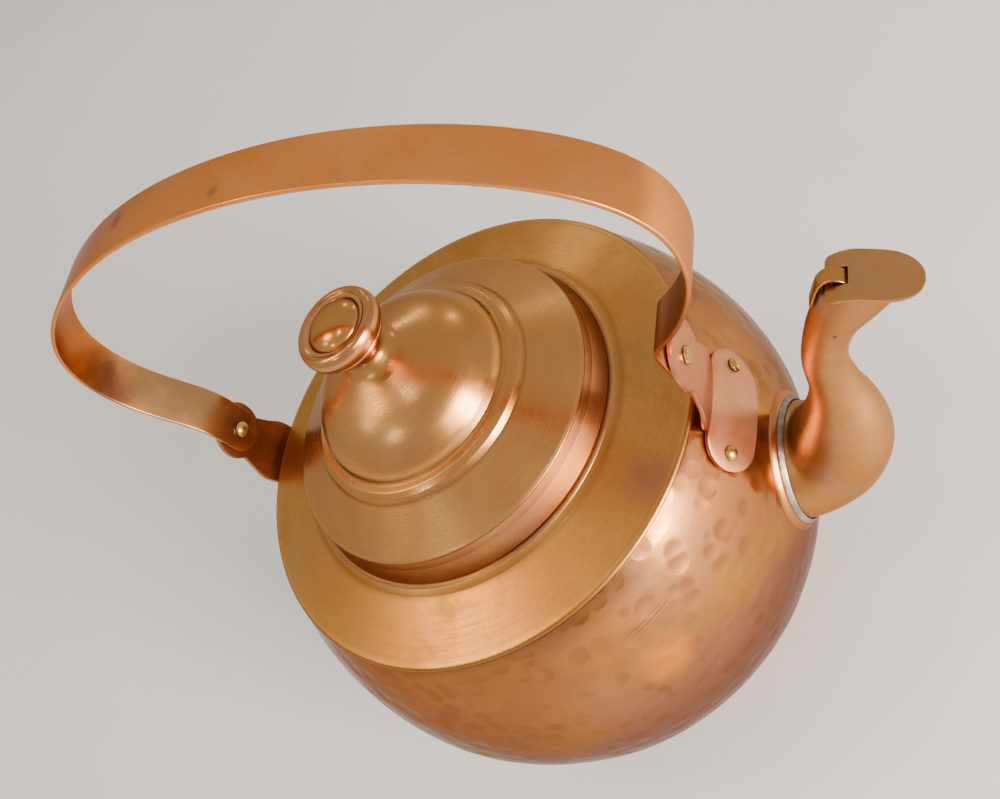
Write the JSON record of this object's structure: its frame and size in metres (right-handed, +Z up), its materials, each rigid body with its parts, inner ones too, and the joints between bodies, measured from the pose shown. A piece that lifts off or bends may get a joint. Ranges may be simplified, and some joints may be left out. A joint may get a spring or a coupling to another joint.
{
  "type": "stovetop kettle",
  "caption": "Round hammered copper kettle with a stepped dome lid, strap bail handle on riveted ears and a swan-neck spout closed by a hinged flap.",
  "frame": {"origin": "centre of the underside of the base plate, on the kettle's axis", "axes": "+Z up the kettle's axis, +X toward the spout, the handle's pivots lie along X"},
  "size_m": [0.3083, 0.237, 0.3191],
  "materials": {
    "hammered_copper": "hammered, polished",
    "base_copper": "dull, heat stained",
    "shoulder_copper": "satin, turned",
    "collar_copper": "satin",
    "lid_copper": "polished, turned",
    "band_copper": "polished",
    "sleeve_tin": "tinned, dull",
    "knob_copper": "polished, turned",
    "stud_copper": "polished",
    "washer_tin": "tinned, dull",
    "front_bracket_copper": "satin",
    "rear_bracket_copper": "satin, darkened",
    "front_rivet_left_brass": "polished",
    "front_rivet_right_brass": "polished",
    "rear_rivet_left_brass": "polished",
    "rear_rivet_right_brass": "polished",
    "front_pivot_brass": "peened",
    "rear_pivot_brass": "peened",
    "strap_copper": "satin",
    "lip_copper": "polished",
    "solder_tin": "bright",
    "spout_copper": "satin",
    "flap_copper": "satin",
    "tongue_copper": "satin"
  },
  "bodies": {
    "kettle": {"body_shell": "hammered_copper", "base_plate": "base_copper", "shoulder_plate": "shoulder_copper", "mouth_collar": "collar_copper", "spout_collar": "lip_copper", "spout_solder": "solder_tin", "spout_tube": "spout_copper", "flap_tongue": "tongue_copper", "front_bracket": "front_bracket_copper", "rear_bracket": "rear_bracket_copper", "front_rivet_left": "front_rivet_left_brass", "front_rivet_right": "front_rivet_right_brass", "rear_rivet_left": "rear_rivet_left_brass", "rear_rivet_right": "rear_rivet_right_brass", "front_pivot": "front_pivot_brass", "rear_pivot": "rear_pivot_brass"},
    "lid": {"lid_top": "lid_copper", "lid_band": "band_copper", "lid_sleeve": "sleeve_tin", "lid_knob": "knob_copper", "knob_stud": "stud_copper", "knob_washer": "washer_tin"},
    "handle": {"handle_strap": "strap_copper"},
    "flap": {"spout_flap": "flap_copper"}
  },
  "joints": [
    {"name": "handle_swing", "type": "hinge", "parent": "kettle", "child": "handle", "pos_m": [0, 0, 0.1861], "axis": [1, 0, 0], "range_deg": [-105, 105]},
    {"name": "flap_hinge", "type": "hinge", "parent": "kettle", "child": "flap", "pos_m": [0.16135, 0, 0.21187], "axis": [0, -1, 0], "range_deg": [0, 100]},
    {"name": "lid_lift", "type": "slide", "parent": "kettle", "child": "lid", "axis": [0, 0, 1], "range_m": [0, 0.06]}
  ]
}
